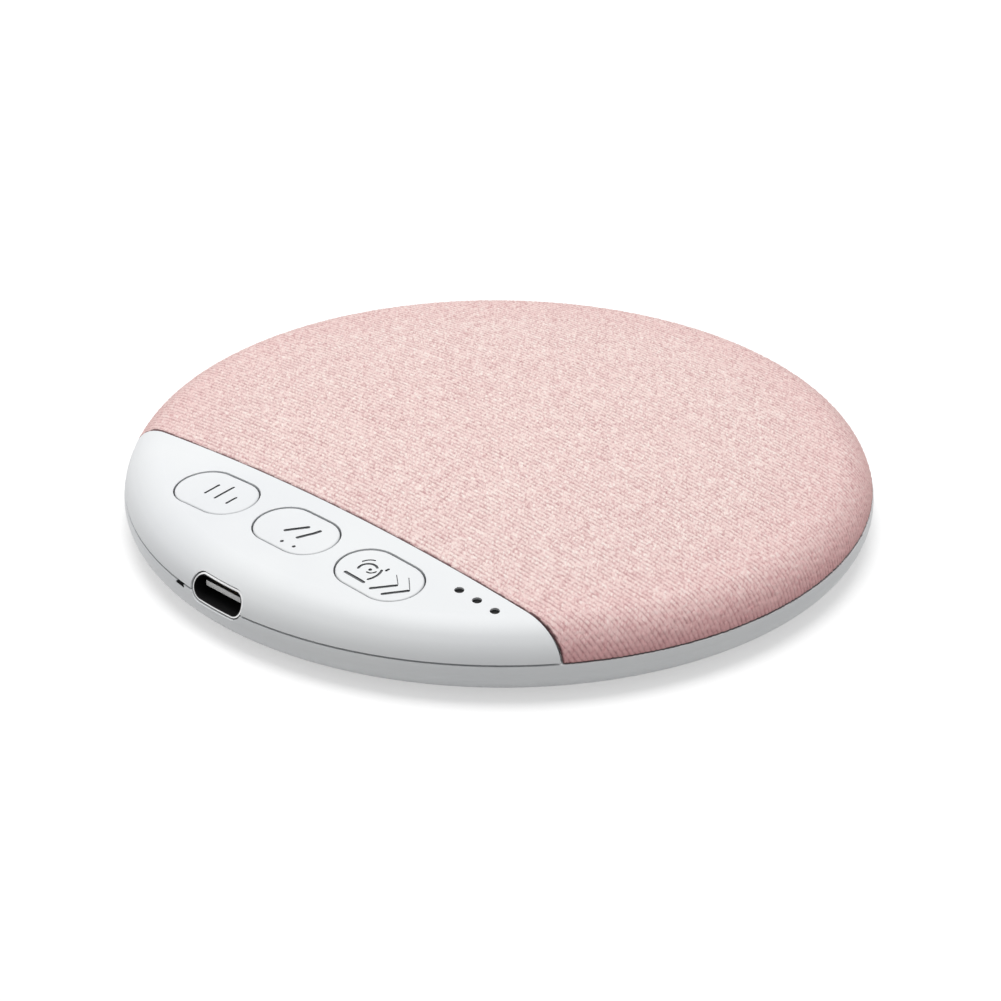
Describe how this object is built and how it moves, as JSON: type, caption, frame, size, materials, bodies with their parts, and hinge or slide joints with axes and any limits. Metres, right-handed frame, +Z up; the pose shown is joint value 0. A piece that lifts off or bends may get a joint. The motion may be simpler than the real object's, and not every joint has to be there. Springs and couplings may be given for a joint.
{
  "type": "pillow speaker",
  "caption": "Thin round pillow speaker: a white plastic pebble with a cloth-covered domed top, a curved button panel and a charging socket in its rim.",
  "frame": {"origin": "centre of the flat base, on the surface that the speaker lies on", "axes": "+Z up through the domed top, -Y out of the charging socket, X along the straight edge of the cloth"},
  "size_m": [0.096, 0.096, 0.012],
  "materials": {
    "white_plastic": "satin",
    "pink_cloth": "fine woven",
    "dark_plastic": "matt",
    "smoked_plastic": "gloss",
    "grey_plastic": "matt",
    "steel": "plain",
    "nickel": "plated",
    "gold_contacts": "plated",
    "board": "solder mask",
    "lamp": "clear",
    "ferrite": "matt",
    "ceramic": "matt",
    "foil": "satin",
    "foam": "soft",
    "copper": "enamelled",
    "cone": "matt",
    "rubber": "matt",
    "red_insulation": "satin",
    "black_insulation": "satin"
  },
  "bodies": {
    "case": {"bottom_shell": "white_plastic", "upper_housing": "white_plastic", "grille_carrier": "white_plastic", "fabric_cover": "pink_cloth", "light_guide": "smoked_plastic", "case_screws": "steel", "board_screws": "steel", "main_board": "board", "switch_bodies": "dark_plastic", "usb_shell": "steel", "usb_tongue": "dark_plastic", "usb_contacts": "gold_contacts", "indicator_leds": "lamp", "radio_chip": "dark_plastic", "sound_memory_chip": "dark_plastic", "crystal_can": "nickel", "amplifier_chip": "dark_plastic", "power_inductor": "ferrite", "board_capacitors": "ceramic", "microphone": "nickel", "slot_gauze": "foam", "battery_socket": "grey_plastic", "speaker_socket": "grey_plastic", "battery_tape": "foam", "battery_cell": "foil", "battery_wire_red": "red_insulation", "battery_wire_black": "black_insulation", "speaker_wire_red": "red_insulation", "speaker_wire_black": "black_insulation", "driver_gasket": "foam", "driver_basket": "dark_plastic", "driver_terminal": "ceramic", "driver_yoke": "steel", "driver_magnet": "nickel", "driver_pole_plate": "steel", "driver_surround": "rubber"},
    "left_button": {"left_button": "white_plastic"},
    "middle_button": {"middle_button": "white_plastic"},
    "right_button": {"right_button": "white_plastic"},
    "left_plunger": {"left_switch_plunger": "dark_plastic"},
    "middle_plunger": {"middle_switch_plunger": "dark_plastic"},
    "right_plunger": {"right_switch_plunger": "dark_plastic"},
    "cone": {"diaphragm": "cone", "dust_cap": "cone", "voice_coil": "copper"}
  },
  "joints": [
    {"name": "left_button_press", "type": "slide", "parent": "case", "child": "left_button", "axis": [0, 0, -1], "range_m": [0, 0.0003], "stiffness_N_per_m": 1000},
    {"name": "left_plunger_press", "type": "slide", "parent": "case", "child": "left_plunger", "axis": [0, 0, -1], "range_m": [0, 0.0003]},
    {"name": "middle_button_press", "type": "slide", "parent": "case", "child": "middle_button", "axis": [0, 0, -1], "range_m": [0, 0.0003], "stiffness_N_per_m": 1000},
    {"name": "middle_plunger_press", "type": "slide", "parent": "case", "child": "middle_plunger", "axis": [0, 0, -1], "range_m": [0, 0.0003]},
    {"name": "right_button_press", "type": "slide", "parent": "case", "child": "right_button", "axis": [0, 0, -1], "range_m": [0, 0.0003], "stiffness_N_per_m": 1000},
    {"name": "right_plunger_press", "type": "slide", "parent": "case", "child": "right_plunger", "axis": [0, 0, -1], "range_m": [0, 0.0003]},
    {"name": "cone_stroke", "type": "slide", "parent": "case", "child": "cone", "axis": [0, 0, 1], "range_m": [-0.0003, 0.0003], "stiffness_N_per_m": 600, "deforming": ["driver_surround"]}
  ],
  "couplings": [
    {"joint": "left_plunger_press", "follows": "left_button_press", "ratio": 1},
    {"joint": "middle_plunger_press", "follows": "middle_button_press", "ratio": 1},
    {"joint": "right_plunger_press", "follows": "right_button_press", "ratio": 1}
  ]
}
